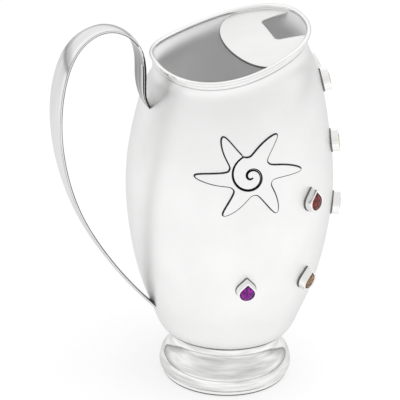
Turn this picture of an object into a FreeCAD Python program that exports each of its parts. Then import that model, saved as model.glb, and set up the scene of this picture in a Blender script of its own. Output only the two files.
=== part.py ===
import FreeCAD, Part
import math
import os

# Hand-raised silver water pitcher, millimetres, +Z up.
# Origin: middle of the resting face under the foot.  +X points to the spout,
# the handle is on the -X side.
os.makedirs("parts", exist_ok=True)

# ---- body: an egg of revolution up to the shoulder (height, radius) ----
BODY_STATIONS = [
    (31.0, 34.6),
    (31.9, 38.2),
    (34.0, 40.9),
    (36.8, 42.9),
    (46.0, 46.9),
    (60.0, 52.4),
    (80.0, 58.4),
    (105.0, 63.0),
    (130.0, 65.0),
    (150.0, 64.2),
    (166.0, 62.0),
]
BODY_WALL = 1.4
BODY_FLOOR = 2.0
BODY_FLOOR_BLEND = 15.0

# ---- shoulder, neck and lip: ovals that rise to the spout and sag at the sides ----
# (height at the axis, rise, sag, centre x, half length, half width, squareness)
SHOULDER_STATIONS = [
    (181.0, 1.8, 0.0000, 0.0, 59.3, 59.3, 0.00),
    (195.5, 4.4, 0.0005, -0.4, 56.1, 56.2, 0.01),
    (208.0, 7.0, 0.0011, -1.0, 51.7, 51.8, 0.03),
    (218.5, 9.2, 0.0016, -1.6, 47.4, 47.3, 0.07),
]
RISE_RUN = 35.0
LIP_HEIGHT = 227.2
LIP_RISE = 10.2
LIP_SAG = 0.0020
LIP_CENTRE_X = -1.9
LIP_HALF_LENGTH = 48.1
LIP_HALF_WIDTH = 47.8
LIP_SQUARENESS = 0.15
LIP_STATION = (
    LIP_HEIGHT,
    LIP_RISE,
    LIP_SAG,
    LIP_CENTRE_X,
    LIP_HALF_LENGTH,
    LIP_HALF_WIDTH,
    LIP_SQUARENESS,
)
LIP_OVERRUN = 8.0
LIP_OVERRUN_SLOPE = 0.24
LIP_OVERRUN_FLARE = 2.2
SECTION_POINTS = 32

# ---- reach of the blocks that only cut or trim other shapes ----
TRIM_HEIGHT = 300.0
TRIM_REACH = 75.0

# ---- mouth wire soldered along the lip ----
MOUTH_WIRE_RADIUS = 1.5
MOUTH_WIRE_RISE = 0.9

# ---- ice guard across the spout half of the mouth ----
GUARD_DEPTH = 1.0
GUARD_THICKNESS = 1.2
GUARD_EDGE_CENTRE_X = 16.0
GUARD_EDGE_REACH = 21.0
GUARD_EDGE_HALF_WIDTH = 43.5
GUARD_SLOT_REAR_X = 22.6
GUARD_SLOT_TIP_X = 54.0
GUARD_SLOT_REAR_HALF = 16.0
GUARD_SLOT_TIP_HALF = 21.5
GUARD_SLOT_CORNER = 3.5

# ---- spun foot, hollow underneath ----
# (height, radius) from the crease above the base ring up to the body
FOOT_STATIONS = [
    (3.0, 39.2),
    (4.4, 41.4),
    (9.0, 41.9),
    (14.0, 40.3),
    (18.5, 36.8),
    (23.0, 34.2),
    (28.0, 33.0),
    (31.0, 33.6),
]
FOOT_WALL = 1.4
FOOT_RING_HEIGHT = 3.0
FOOT_RING_OUTER = 39.8
FOOT_RING_INNER = 36.0
FOOT_RING_EDGE = 0.75

# ---- strap handle: (distance from the axis, height, width) ----
HANDLE_TURN = 186.0
HANDLE_THICKNESS = 2.2
HANDLE_STATIONS = [
    (50.5, 186.5, 6.0),
    (55.6, 192.5, 9.5),
    (58.8, 199.5, 12.5),
    (60.2, 208.0, 16.5),
    (60.6, 221.0, 17.5),
    (65.8, 237.5, 16.0),
    (83.3, 247.3, 13.5),
    (102.0, 240.0, 16.5),
    (112.6, 220.0, 19.5),
    (116.0, 194.0, 20.0),
    (112.4, 161.0, 17.5),
    (101.3, 127.0, 14.0),
    (84.0, 96.5, 11.5),
    (62.0, 67.2, 10.5),
    (45.5, 49.0, 9.5),
]
HANDLE_CROWN = 0.5
HANDLE_EDGE = 0.5

# ---- flat star with a spiral groove, one on each flank ----
STAR_ANGLE = 95.5
STAR_HEIGHT = 164.0
STAR_TILT = 9.0
STAR_THICKNESS = 1.3
STAR_ARMS = 6
STAR_HALF_WIDTH = 33.0
STAR_HALF_HEIGHT = 28.5
STAR_WAIST = 0.42
STAR_SWEEP = 8.0
STAR_TAPER = 1.5
STAR_TIP = 0.2
STAR_ARM_POINTS = 12
STAR_CROWDING = 0.6
SPIRAL_START = 92.0
SPIRAL_TURNS = 1.65
SPIRAL_OUTER = 14.0
SPIRAL_INNER = 1.2
SPIRAL_CLOSING = 1.6
SPIRAL_WIDTH = 1.6
SPIRAL_END_WIDTH = 0.7
SPIRAL_DEPTH = 0.8

# ---- pear stones in tall bezel cups: name -> (angle from spout, height) ----
STONE_PLACES = {
    "low_flank": (96.0, 87.0),
    "low_quarter": (53.0, 84.0),
    "mid_quarter": (56.5, 140.5),
    "low_spout": (19.0, 120.5),
    "mid_spout": (19.0, 163.0),
    "high_spout": (12.0, 200.5),
}
BEZEL_LENGTH = 15.2
BEZEL_WIDTH = 12.2
BEZEL_WALL = 0.9
BEZEL_POINT_WALL = 1.44
BEZEL_STAND = 5.2
BEZEL_CUP = 3.4
BEZEL_ROOT = 9.0
STONE_GAP = 0.05
STONE_CROWN = 1.5
STONE_GIRDLE = 0.4
STONE_PAVILION = 1.8
STONE_TABLE = 0.58
STONE_CULET = 0.25
STONE_ROUND_FACETS = 8
SEAT_LENGTH = BEZEL_LENGTH - BEZEL_WALL - BEZEL_POINT_WALL
SEAT_WIDTH = BEZEL_WIDTH - 2 * BEZEL_WALL

Z_AXIS = FreeCAD.Vector(0, 0, 1)
ORIGIN = FreeCAD.Vector(0, 0, 0)


def closed_curve(points):
    """Smooth closed wire through the points, in four equal stretches."""
    curve = Part.BSplineCurve()
    curve.interpolate(Points=points, PeriodicFlag=True)
    quarter = len(points) // 4
    marks = [curve.parameter(points[i * quarter]) for i in range(4)]
    marks[0] = curve.FirstParameter
    marks.append(curve.LastParameter)
    return Part.Wire([curve.toShape(a, b) for a, b in zip(marks, marks[1:])])


def lip_surface(x, y, height, rise, sag):
    """Height of a mouth line: it rises to the spout and sags to the sides."""
    return height + rise * math.sin(x / RISE_RUN) - sag * y * y


def oval(height_at, centre_x, half_length, half_width, squareness):
    """Closed curve over an oval plan at the height given for each point."""
    points = []
    for i in range(SECTION_POINTS):
        angle = 2 * math.pi * (i / SECTION_POINTS + 0.125)
        side = math.sin(angle)
        x = centre_x + half_length * math.cos(angle)
        y = half_width * side
        if side:
            y = y / abs(side) ** squareness
        points.append(FreeCAD.Vector(x, y, height_at(x, y)))
    return closed_curve(points)


def round_section(height, radius):
    return oval(lambda x, y: height, 0, radius, radius, 0)


def shoulder_section(station, offset):
    height, rise, sag, centre_x, half_length, half_width, squareness = station
    return oval(
        lambda x, y: lip_surface(x, y, height, rise, sag),
        centre_x,
        half_length + offset,
        half_width + offset,
        squareness,
    )


def overrun_section(offset):
    """Flat section just above the lip, cut away later."""
    return oval(
        lambda x, y: LIP_HEIGHT + LIP_OVERRUN + LIP_OVERRUN_SLOPE * x,
        LIP_CENTRE_X,
        LIP_HALF_LENGTH + LIP_OVERRUN_FLARE + offset,
        LIP_HALF_WIDTH + LIP_OVERRUN_FLARE + offset,
        LIP_SQUARENESS,
    )


def body_solid(offset, floor_lift):
    """The body filled solid, grown outwards by offset, its floor lifted."""
    wires = []
    base = BODY_STATIONS[0][0]
    for height, radius in BODY_STATIONS:
        lift = floor_lift * max(0.0, 1.0 - (height - base) / BODY_FLOOR_BLEND)
        wires.append(round_section(height + lift, radius + offset))
    for station in SHOULDER_STATIONS:
        wires.append(shoulder_section(station, offset))
    wires.append(shoulder_section(LIP_STATION, offset))
    wires.append(overrun_section(offset))
    return Part.makeLoft(wires, True, False)


def slab(low, high):
    """Everything between two heights measured from the lip surface."""
    steps = 16
    rows = []
    for i in range(steps + 1):
        x = TRIM_REACH * (2 * i / steps - 1)
        row = []
        for j in range(steps + 1):
            y = TRIM_REACH * (2 * j / steps - 1)
            z = lip_surface(x, y, LIP_HEIGHT + low, LIP_RISE, LIP_SAG)
            row.append(FreeCAD.Vector(x, y, z))
        rows.append(row)
    sheet = Part.BSplineSurface()
    sheet.interpolate(rows)
    return sheet.toShape().extrude(Z_AXIS * (high - low))


def mouth_wire():
    """Round wire following the middle of the lip."""
    lip = (LIP_HEIGHT + MOUTH_WIRE_RISE,) + LIP_STATION[1:]
    spine = shoulder_section(lip, -BODY_WALL / 2)
    lengths = []
    for edge in spine.Edges:
        begin = edge.FirstParameter
        circle = Part.makeCircle(
            MOUTH_WIRE_RADIUS, edge.valueAt(begin), edge.tangentAt(begin)
        )
        lengths.append(Part.Wire([edge]).makePipeShell([Part.Wire([circle])], True, False))
    return lengths[0].multiFuse(lengths[1:]).Solids[0]


def body_shell(outer, cavity, wire):
    """Shell cut off along the lip and seated against the mouth wire."""
    shell = outer.cut(cavity)
    shell = shell.cut(slab(0.0, TRIM_HEIGHT))
    return shell.cut(wire)


def slot_prism():
    """Upright four-sided prism with rounded corners."""
    corners = [
        FreeCAD.Vector(GUARD_SLOT_REAR_X, -GUARD_SLOT_REAR_HALF, 0),
        FreeCAD.Vector(GUARD_SLOT_TIP_X, -GUARD_SLOT_TIP_HALF, 0),
        FreeCAD.Vector(GUARD_SLOT_TIP_X, GUARD_SLOT_TIP_HALF, 0),
        FreeCAD.Vector(GUARD_SLOT_REAR_X, GUARD_SLOT_REAR_HALF, 0),
    ]
    face = Part.Face(Part.makePolygon(corners + corners[:1]))
    prism = face.extrude(Z_AXIS * TRIM_HEIGHT)
    upright = [e for e in prism.Edges if abs(e.tangentAt(e.FirstParameter).z) > 0.9]
    return prism.makeFillet(GUARD_SLOT_CORNER, upright)


def ice_guard(cavity):
    """Plate under the lip with a rounded rear edge and the pouring slot."""
    sheet = slab(-GUARD_DEPTH - GUARD_THICKNESS, -GUARD_DEPTH)
    centre = FreeCAD.Vector(GUARD_EDGE_CENTRE_X, 0, 0)
    side = FreeCAD.Vector(GUARD_EDGE_CENTRE_X, GUARD_EDGE_HALF_WIDTH, 0)
    reach = FreeCAD.Vector(GUARD_EDGE_CENTRE_X - GUARD_EDGE_REACH, 0, 0)
    ellipse = Part.Ellipse(side, reach, centre)
    rear = Part.Face(Part.Wire([ellipse.toShape()])).extrude(Z_AXIS * TRIM_HEIGHT)
    corner = FreeCAD.Vector(GUARD_EDGE_CENTRE_X, -TRIM_REACH, 0)
    block = Part.makeBox(TRIM_REACH, 2 * TRIM_REACH, TRIM_HEIGHT, corner)
    front = rear.fuse(block)
    plate = sheet.common(front).common(cavity)
    return plate.cut(slot_prism())


def turned(edges):
    """Solid of revolution from the edges of a closed outline."""
    face = Part.Face(Part.Wire(Part.__sortEdges__(edges)))
    return face.revolve(ORIGIN, Z_AXIS, 360)


def at(radius, height):
    return FreeCAD.Vector(radius, 0, height)


def foot_curve(offset):
    curve = Part.BSplineCurve()
    curve.interpolate([at(radius + offset, height) for height, radius in FOOT_STATIONS])
    return curve


def foot():
    """Spun shell of even wall between two smooth curves."""
    outside = foot_curve(0.0)
    inside = foot_curve(-FOOT_WALL)
    edges = [
        outside.toShape(),
        Part.makeLine(outside.EndPoint, inside.EndPoint),
        inside.toShape(),
        Part.makeLine(inside.StartPoint, outside.StartPoint),
    ]
    return turned(edges)


def foot_ring():
    """Flat-bottomed base ring with a rounded outer edge."""
    inner_low = at(FOOT_RING_INNER, 0)
    inner_high = at(FOOT_RING_INNER, FOOT_RING_HEIGHT)
    outer_low = at(FOOT_RING_OUTER - FOOT_RING_EDGE, 0)
    outer_middle = at(FOOT_RING_OUTER, FOOT_RING_HEIGHT / 2)
    outer_high = at(FOOT_RING_OUTER - FOOT_RING_EDGE, FOOT_RING_HEIGHT)
    edges = [
        Part.makeLine(inner_low, outer_low),
        Part.Arc(outer_low, outer_middle, outer_high).toShape(),
        Part.makeLine(outer_high, inner_high),
        Part.makeLine(inner_high, inner_low),
    ]
    return turned(edges)


def strap_section(place, along, width):
    """Closed strap outline square to the handle's run, crowned outside."""
    across = FreeCAD.Vector(0, -1, 0)
    outward = along.cross(across).normalize()
    half = width / 2
    low = HANDLE_THICKNESS / 2
    points = []
    for side, level in (
        (-half + HANDLE_EDGE, -low),
        (half - HANDLE_EDGE, -low),
        (half, -low + HANDLE_EDGE),
        (half, low - HANDLE_EDGE),
        (half - HANDLE_EDGE, low),
        (0.0, low + HANDLE_CROWN),
        (-half + HANDLE_EDGE, low),
        (-half, low - HANDLE_EDGE),
        (-half, -low + HANDLE_EDGE),
    ):
        points.append(place + across * side + outward * level)
    flat = Part.makeLine(points[0], points[1])
    edges = [flat]
    for i in range(1, 4):
        edges.append(Part.makeLine(points[i], points[i + 1]))
    edges.append(Part.Arc(points[4], points[5], points[6]).toShape())
    for i in range(6, 8):
        edges.append(Part.makeLine(points[i], points[i + 1]))
    edges.append(Part.makeLine(points[8], points[0]))
    return Part.Wire(edges)


def handle(outer):
    """Strap lofted along its run, its ends fitted to the body."""
    run = Part.BSplineCurve()
    run.interpolate([FreeCAD.Vector(r, 0, h) for r, h, w in HANDLE_STATIONS])
    sections = []
    for radius, height, width in HANDLE_STATIONS:
        place = FreeCAD.Vector(radius, 0, height)
        along = run.tangent(run.parameter(place))[0]
        sections.append(strap_section(place, along, width))
    strap = Part.makeLoft(sections, True, False)
    strap.rotate(ORIGIN, Z_AXIS, HANDLE_TURN)
    return strap.cut(outer)


def surface_radius(outer, angle, height):
    """Distance from the axis to the outside of the body."""
    way = FreeCAD.Vector(math.cos(math.radians(angle)), math.sin(math.radians(angle)), 0)
    ray = Part.makeLine(Z_AXIS * height, Z_AXIS * height + way * 2 * TRIM_REACH)
    inside = ray.common(outer)
    return max(math.hypot(v.X, v.Y) for v in inside.Vertexes)


def surface_tilt(outer, angle, height):
    """Angle the outward direction leans up from level, in degrees."""
    step = 4.0
    low = surface_radius(outer, angle, height - step)
    high = surface_radius(outer, angle, height + step)
    return math.degrees(math.atan2(low - high, 2 * step))


def placed(shape, radius, angle, height, tilt):
    """Moves a shape drawn in the YZ plane, facing +X, onto the body."""
    moved = shape.copy()
    moved.rotate(ORIGIN, FreeCAD.Vector(0, 1, 0), -tilt)
    moved.translate(FreeCAD.Vector(radius, 0, height))
    moved.rotate(ORIGIN, Z_AXIS, angle)
    return moved


def star_reach(angle):
    """Share of the full reach: tapering arms with round tips, round bays."""
    swing = math.sin(STAR_ARMS * angle / 2) ** 2
    fall = math.sqrt(STAR_TIP ** 2 + (1 - STAR_TIP ** 2) * swing)
    arm = ((1 - fall) / (1 - STAR_TIP)) ** STAR_TAPER
    return STAR_WAIST + (1 - STAR_WAIST) * arm


def star_outline():
    """Six swept arms, wider than tall, with points closer together at the tips."""
    points = []
    for i in range(STAR_ARMS * STAR_ARM_POINTS):
        arm, step = divmod(i, STAR_ARM_POINTS)
        share = 2 * step / STAR_ARM_POINTS - 1
        angle = 2 * math.pi / STAR_ARMS * (arm + share * abs(share) ** STAR_CROWDING / 2)
        reach = star_reach(angle)
        turn = angle + math.radians(STAR_SWEEP) * (1 - reach) / (1 - STAR_WAIST)
        y = STAR_HALF_WIDTH * reach * math.cos(turn)
        z = STAR_HALF_HEIGHT * reach * math.sin(turn)
        points.append(FreeCAD.Vector(0, y, z))
    return closed_curve(points)


def spiral_outline():
    """Band wound from a bay to the middle of the star, thinner at both ends."""
    steps = 28
    inner = []
    outer = []
    for i in range(steps + 1):
        share = i / steps
        turn = math.radians(SPIRAL_START) + 2 * math.pi * SPIRAL_TURNS * share
        closing = (1 - share) ** SPIRAL_CLOSING
        radius = SPIRAL_INNER + (SPIRAL_OUTER - SPIRAL_INNER) * closing
        width = SPIRAL_END_WIDTH + (SPIRAL_WIDTH - SPIRAL_END_WIDTH) * math.sin(math.pi * share)
        way = FreeCAD.Vector(0, math.cos(turn), math.sin(turn))
        inner.append(way * (radius - width / 2))
        outer.append(way * (radius + width / 2))
    curves = []
    for line in (inner, outer):
        curve = Part.BSplineCurve()
        curve.interpolate(line)
        curves.append(curve)
    edges = [
        curves[0].toShape(),
        Part.makeLine(curves[0].EndPoint, curves[1].EndPoint),
        curves[1].toShape(),
        Part.makeLine(curves[1].StartPoint, curves[0].StartPoint),
    ]
    return Part.Wire(Part.__sortEdges__(edges))


def star_block(outline, radius, angle):
    """Outline carried straight through the body's skin at the star's place."""
    block = Part.Face(outline).extrude(FreeCAD.Vector(TRIM_REACH, 0, 0))
    block.translate(FreeCAD.Vector(-TRIM_REACH / 2, 0, 0))
    return placed(block, radius, angle, STAR_HEIGHT, STAR_TILT)


def star(outer, side):
    """Flat star bent to the body, cut from a skin over the outside."""
    angle = side * STAR_ANGLE
    radius = surface_radius(outer, angle, STAR_HEIGHT)
    skin = body_solid(STAR_THICKNESS, 0.0)
    groove_floor = body_solid(STAR_THICKNESS - SPIRAL_DEPTH, 0.0)
    groove = star_block(spiral_outline(), radius, angle).cut(groove_floor)
    plate = star_block(star_outline(), radius, angle).common(skin).cut(outer)
    return plate.cut(groove)


def pear_circle(length, width):
    """Centre height, radius, tip height and tangent angle of a pear outline."""
    radius = width / 2
    centre = radius - length / 2
    tip = length / 2
    tangent = math.asin(radius / (tip - centre))
    return centre, radius, tip, tangent


def pear(length, width, stand):
    """Pear outline facing +X, round end down, point up."""
    centre, radius, tip, tangent = pear_circle(length, width)
    side_y = radius * math.cos(tangent)
    side_z = centre + radius * math.sin(tangent)
    left = FreeCAD.Vector(stand, -side_y, side_z)
    right = FreeCAD.Vector(stand, side_y, side_z)
    bottom = FreeCAD.Vector(stand, 0, centre - radius)
    point = FreeCAD.Vector(stand, 0, tip)
    edges = [
        Part.Arc(left, bottom, right).toShape(),
        Part.makeLine(right, point),
        Part.makeLine(point, left),
    ]
    return Part.Wire(edges)


def bezel():
    """Tall pear-shaped cup with its floor below the stone."""
    cup = Part.Face(pear(BEZEL_LENGTH, BEZEL_WIDTH, -BEZEL_ROOT))
    cup = cup.extrude(FreeCAD.Vector(BEZEL_ROOT + BEZEL_STAND, 0, 0))
    seat = Part.Face(pear(SEAT_LENGTH, SEAT_WIDTH, BEZEL_STAND - BEZEL_CUP))
    seat = seat.extrude(FreeCAD.Vector(BEZEL_STAND, 0, 0))
    return cup.cut(seat)


def facet_ring(size, stand):
    """Straight-sided ring inscribed in the stone's pear outline."""
    length = (SEAT_LENGTH - 2 * STONE_GAP) * size
    width = (SEAT_WIDTH - 2 * STONE_GAP) * size
    centre, radius, tip, tangent = pear_circle(length, width)
    corners = []
    for i in range(STONE_ROUND_FACETS + 1):
        turn = tangent - (math.pi + 2 * tangent) * i / STONE_ROUND_FACETS
        y = radius * math.cos(turn)
        z = centre + radius * math.sin(turn)
        corners.append(FreeCAD.Vector(stand, y, z))
    point = FreeCAD.Vector(stand, 0, tip)
    corners.append((corners[-1] + point) / 2)
    corners.append(point)
    corners.append((corners[0] + point) / 2)
    return Part.makePolygon(corners + corners[:1])


def stone():
    """Faceted pear: flat table, crown, thin girdle and pavilion."""
    girdle = BEZEL_STAND - BEZEL_CUP + STONE_PAVILION
    rings = [
        facet_ring(STONE_CULET, girdle - STONE_PAVILION),
        facet_ring(1.0, girdle),
        facet_ring(1.0, girdle + STONE_GIRDLE),
        facet_ring(STONE_TABLE, girdle + STONE_GIRDLE + STONE_CROWN),
    ]
    layers = [Part.makeLoft([a, b], True, True) for a, b in zip(rings, rings[1:])]
    return layers[0].multiFuse(layers[1:])


def save(shape, name):
    shape.exportStep("parts/" + name + ".step")


outer = body_solid(0.0, 0.0)
cavity = body_solid(-BODY_WALL, BODY_FLOOR)
wire = mouth_wire()
save(body_shell(outer, cavity, wire), "body_shell")
save(wire, "mouth_wire")
save(ice_guard(cavity), "ice_guard")
save(foot(), "foot")
save(foot_ring(), "foot_ring")
save(handle(outer), "handle_strap")
for side, flank in ((-1, "near"), (1, "far")):
    save(star(outer, side), "star_" + flank)
    for place, (angle, height) in STONE_PLACES.items():
        turn = side * angle
        radius = surface_radius(outer, turn, height)
        tilt = surface_tilt(outer, turn, height)
        cup = placed(bezel(), radius, turn, height, tilt).cut(outer)
        save(cup, "bezel_" + place + "_" + flank)
        gem = placed(stone(), radius, turn, height, tilt)
        save(gem, "stone_" + place + "_" + flank)
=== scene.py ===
import math

import bmesh
import bpy
import numpy as np
from mathutils import Matrix, Vector
from mathutils.bvhtree import BVHTree
from mathutils.geometry import delaunay_2d_cdt


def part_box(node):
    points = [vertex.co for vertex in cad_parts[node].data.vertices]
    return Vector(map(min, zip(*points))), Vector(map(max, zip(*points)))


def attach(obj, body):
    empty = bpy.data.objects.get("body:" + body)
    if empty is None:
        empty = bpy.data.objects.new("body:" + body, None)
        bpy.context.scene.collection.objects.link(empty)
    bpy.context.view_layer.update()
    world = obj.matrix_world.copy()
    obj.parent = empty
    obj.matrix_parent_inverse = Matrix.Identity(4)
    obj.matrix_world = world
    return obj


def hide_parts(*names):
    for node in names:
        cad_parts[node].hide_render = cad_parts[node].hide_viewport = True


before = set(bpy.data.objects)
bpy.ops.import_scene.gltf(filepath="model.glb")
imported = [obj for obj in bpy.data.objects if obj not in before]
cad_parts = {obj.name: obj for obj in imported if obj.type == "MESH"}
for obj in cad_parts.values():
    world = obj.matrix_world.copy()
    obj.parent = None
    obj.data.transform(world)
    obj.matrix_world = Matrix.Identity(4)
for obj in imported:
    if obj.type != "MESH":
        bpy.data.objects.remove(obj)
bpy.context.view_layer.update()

# Metres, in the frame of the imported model: +Z up, +X to the spout, handle on -X.

# ---- body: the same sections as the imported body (height, radius) ----
BODY_STATIONS = [
    (0.0310, 0.0346),
    (0.0319, 0.0382),
    (0.0340, 0.0409),
    (0.0368, 0.0429),
    (0.0460, 0.0469),
    (0.0600, 0.0524),
    (0.0800, 0.0584),
    (0.1050, 0.0630),
    (0.1300, 0.0650),
    (0.1500, 0.0642),
    (0.1660, 0.0620),
]
BODY_WALL = 0.0014
BODY_FLOOR = 0.002
BODY_FLOOR_BLEND = 0.015
# (height at the axis, rise, sag per metre, centre x, half length, half width, squareness)
SHOULDER_STATIONS = [
    (0.1810, 0.0018, 0.0, 0.0, 0.0593, 0.0593, 0.00),
    (0.1955, 0.0044, 0.5, -0.0004, 0.0561, 0.0562, 0.01),
    (0.2080, 0.0070, 1.1, -0.0010, 0.0517, 0.0518, 0.03),
    (0.2185, 0.0092, 1.6, -0.0016, 0.0474, 0.0473, 0.07),
]
LIP = (0.2272, 0.0102, 2.0, -0.0019, 0.0481, 0.0478, 0.15)
RISE_RUN = 0.035
LIP_OVERRUN = 0.008
LIP_OVERRUN_SLOPE = 0.24
LIP_OVERRUN_FLARE = 0.0022
BODY_SEGMENTS = 288
BODY_ROWS = 180
# rings in the disc that closes the bottom, and rows painted dark as shade at the foot's joint
BODY_DISC_ROWS = 6
BODY_SHADE_ROWS = 7
# rows below the lip where the soft grey line of painted shade under the rim wire runs
BODY_SHADE_LINE_ROW = 4

MOUTH_WIRE_RADIUS = 0.0015
MOUTH_WIRE_RISE = 0.0009

GUARD_DEPTH = 0.0010
GUARD_THICKNESS = 0.0012
GUARD_EDGE_CENTRE_X = 0.016
GUARD_EDGE_REACH = 0.021
GUARD_EDGE_HALF_WIDTH = 0.0435
GUARD_SLOT_REAR_X = 0.0226
GUARD_SLOT_TIP_X = 0.054
GUARD_SLOT_REAR_HALF = 0.016
GUARD_SLOT_TIP_HALF = 0.0215
GUARD_SLOT_CORNER = 0.0035
GUARD_BEVEL = 0.00025
GUARD_POINT_GAP = 0.0009
GUARD_FILL_GAP = 0.003
# the painted shade border is kept where a polygon lies at least this far out on the rear ellipse
GUARD_REAR_SHARE = 0.9

FOOT_STATIONS = [
    (0.0030, 0.0392),
    (0.0044, 0.0414),
    (0.0090, 0.0419),
    (0.0140, 0.0403),
    (0.0185, 0.0368),
    (0.0230, 0.0342),
    (0.0280, 0.0330),
    (0.0310, 0.0336),
]
FOOT_WALL = 0.0014
FOOT_ROWS = 64
FOOT_RING_HEIGHT = 0.003
FOOT_RING_OUTER = 0.0398
FOOT_RING_INNER = 0.036
FOOT_RING_EDGE = 0.00075
FOOT_RING_SOFT = 0.0003
FOOT_RING_STEPS = 16
FOOT_RING_SHADE_STEPS = 7

# ---- handle: (distance from the axis, height, width) ----
HANDLE_TURN = math.radians(186.0)
HANDLE_STATIONS = [
    (0.0505, 0.1865, 0.0060),
    (0.0556, 0.1925, 0.0095),
    (0.0588, 0.1995, 0.0125),
    (0.0602, 0.2080, 0.0165),
    (0.0606, 0.2210, 0.0175),
    (0.0658, 0.2375, 0.0160),
    (0.0833, 0.2473, 0.0135),
    (0.1020, 0.2400, 0.0165),
    (0.1126, 0.2200, 0.0195),
    (0.1160, 0.1940, 0.0200),
    (0.1124, 0.1610, 0.0175),
    (0.1013, 0.1270, 0.0140),
    (0.0840, 0.0965, 0.0115),
    (0.0620, 0.0672, 0.0105),
    (0.0455, 0.0490, 0.0095),
]
HANDLE_HALF_THICKNESS = 0.0011
HANDLE_CROWN = 0.0008
HANDLE_EDGE = 0.0006
HANDLE_BURY = 0.0007
HANDLE_ROWS = 260

# ---- star ----
STAR_HEIGHT = 0.164
STAR_ANGLE = 95.5
STAR_TILT = math.radians(9.0)
STAR_THICKNESS = 0.0013
STAR_ARMS = 6
STAR_HALF_WIDTH = 0.033
STAR_HALF_HEIGHT = 0.0285
STAR_WAIST = 0.42
STAR_SWEEP = math.radians(8.0)
STAR_TAPER = 1.5
STAR_TIP = 0.2
STAR_ARM_POINTS = 36
STAR_CROWDING = 0.6
STAR_EDGE = 0.0004
STAR_SEAM = 0.0007
STAR_BURY = 0.0004
STAR_POINT_GAP = 0.0006
STAR_FILL_GAP = 0.0016
SPIRAL_START = math.radians(92.0)
SPIRAL_TURNS = 1.65
SPIRAL_OUTER = 0.014
SPIRAL_INNER = 0.0012
SPIRAL_CLOSING = 1.6
SPIRAL_WIDTH = 0.0016
SPIRAL_END_WIDTH = 0.0007
SPIRAL_STEPS = 110

# ---- stones and bezels ----
STONE_COLOURS = {
    "low_flank": "amethyst",
    "low_quarter": "smoky_quartz",
    "mid_quarter": "garnet",
    "low_spout": "amethyst",
    "mid_spout": "citrine",
    "high_spout": "garnet",
}
BEZEL_LENGTH = 0.0152
BEZEL_WIDTH = 0.0122
BEZEL_WALL = 0.0009
BEZEL_STAND = 0.0052
BEZEL_CUP = 0.0034
BEZEL_SHADE_ROWS = 3
BEZEL_POLISHED_ROWS = 10
PEAR_TIP_RADIUS = 0.0006
PEAR_LEAST_TIP_RADIUS = 0.00022
PEAR_TIP_MARGIN = 0.0003
PEAR_TIP_PULL = 1.25
SEAT_STEP = 0.004
SEAT_ROUNDS = 4
# where a ray at the body starts, from the axis
RAY_START = 0.2
STONE_PAVILION = 0.0018
STONE_GIRDLE = 0.0004
STONE_CROWN = 0.0015
STONE_CORNERS = 14
STONE_TABLE = 0.56
# shares of the girdle outline, of the crown and of the pavilion, where facets meet
STONE_HUB = 0.52
STONE_KITE = 0.81
STONE_KITE_HEIGHT = 0.58
STONE_DEEP = 0.55
STONE_DEEP_DEPTH = 0.6
STONE_MIDDLE = 0.7
STONE_PLAY = 0.00005
STONE_TIP_PLAY = 0.0001

Z = Vector((0, 0, 1))


# ---------------------------------------------------------------- mesh helpers

def add_object(name, mesh, materials):
    piece = bpy.data.objects.new(name, mesh)
    bpy.context.scene.collection.objects.link(piece)
    for material in materials:
        mesh.materials.append(material)
    return piece


def finish_piece(piece, slot, *nodes):
    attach(piece, "root")
    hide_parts(*nodes)
    return piece


def ring_mesh(name, rings, materials, index_of=None, wrap=False, caps=(False, False)):
    """Smooth quads through closed rings of points; wrap joins the last ring to the first."""
    count = len(rings[0])
    points = [tuple(p) for ring in rings for p in ring]
    faces = []
    indices = []
    rows = len(rings) if wrap else len(rings) - 1
    for r in range(rows):
        low = r * count
        high = (r + 1) % len(rings) * count
        for i in range(count):
            j = (i + 1) % count
            faces.append((low + i, low + j, high + j, high + i))
            indices.append(index_of(r, i) if index_of else 0)
    for end, r in zip(caps, (0, len(rings) - 1)):
        if end:
            centre = len(points)
            points.append(tuple(np.mean(np.array(rings[r]), axis=0)))
            for i in range(count):
                faces.append((r * count + i, r * count + (i + 1) % count, centre))
                indices.append(index_of(max(0, r - 1), i) if index_of else 0)
    mesh = bpy.data.meshes.new(name)
    mesh.from_pydata(points, [], faces)
    mesh.polygons.foreach_set("material_index", indices)
    smooth_outwards(mesh)
    run = run_lengths(np.array(rings))
    uv = mesh.uv_layers.new(name="run")
    for loop in mesh.loops:
        row, column = divmod(min(loop.vertex_index, len(rings) * count - 1), count)
        uv.data[loop.index].uv = (abs(2 * column / count - 1), run[row])
    return add_object(name, mesh, materials)


def smooth_outwards(mesh, smooth=True):
    """Consistent outward faces."""
    work = bmesh.new()
    work.from_mesh(mesh)
    bmesh.ops.recalc_face_normals(work, faces=work.faces)
    work.to_mesh(mesh)
    work.free()
    mesh.polygons.foreach_set("use_smooth", [smooth] * len(mesh.polygons))
    mesh.update()


def spline(knots, values, at):
    """Natural cubic through values at the knots, read off at the given places."""
    knots = np.asarray(knots, float)
    values = np.asarray(values, float)
    at = np.asarray(at, float)
    gaps = np.diff(knots)
    system = np.eye(len(knots))
    bends = np.zeros_like(values)
    for i in range(1, len(knots) - 1):
        system[i, i - 1:i + 2] = gaps[i - 1], 2 * (gaps[i - 1] + gaps[i]), gaps[i]
        rise = (values[i + 1] - values[i]) / gaps[i]
        bends[i] = 6 * (rise - (values[i] - values[i - 1]) / gaps[i - 1])
    flat = np.linalg.solve(system, bends.reshape(len(knots), -1))
    bends = flat.reshape(values.shape)
    k = np.clip(np.searchsorted(knots, at) - 1, 0, len(knots) - 2)
    shape = (-1,) + (1,) * (values.ndim - 1)
    gap = gaps[k].reshape(shape)
    ahead = (knots[k + 1] - at).reshape(shape)
    behind = (at - knots[k]).reshape(shape)
    return (
        (bends[k] * ahead ** 3 + bends[k + 1] * behind ** 3) / (6 * gap)
        + (values[k] / gap - bends[k] * gap / 6) * ahead
        + (values[k + 1] / gap - bends[k + 1] * gap / 6) * behind
    )


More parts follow.
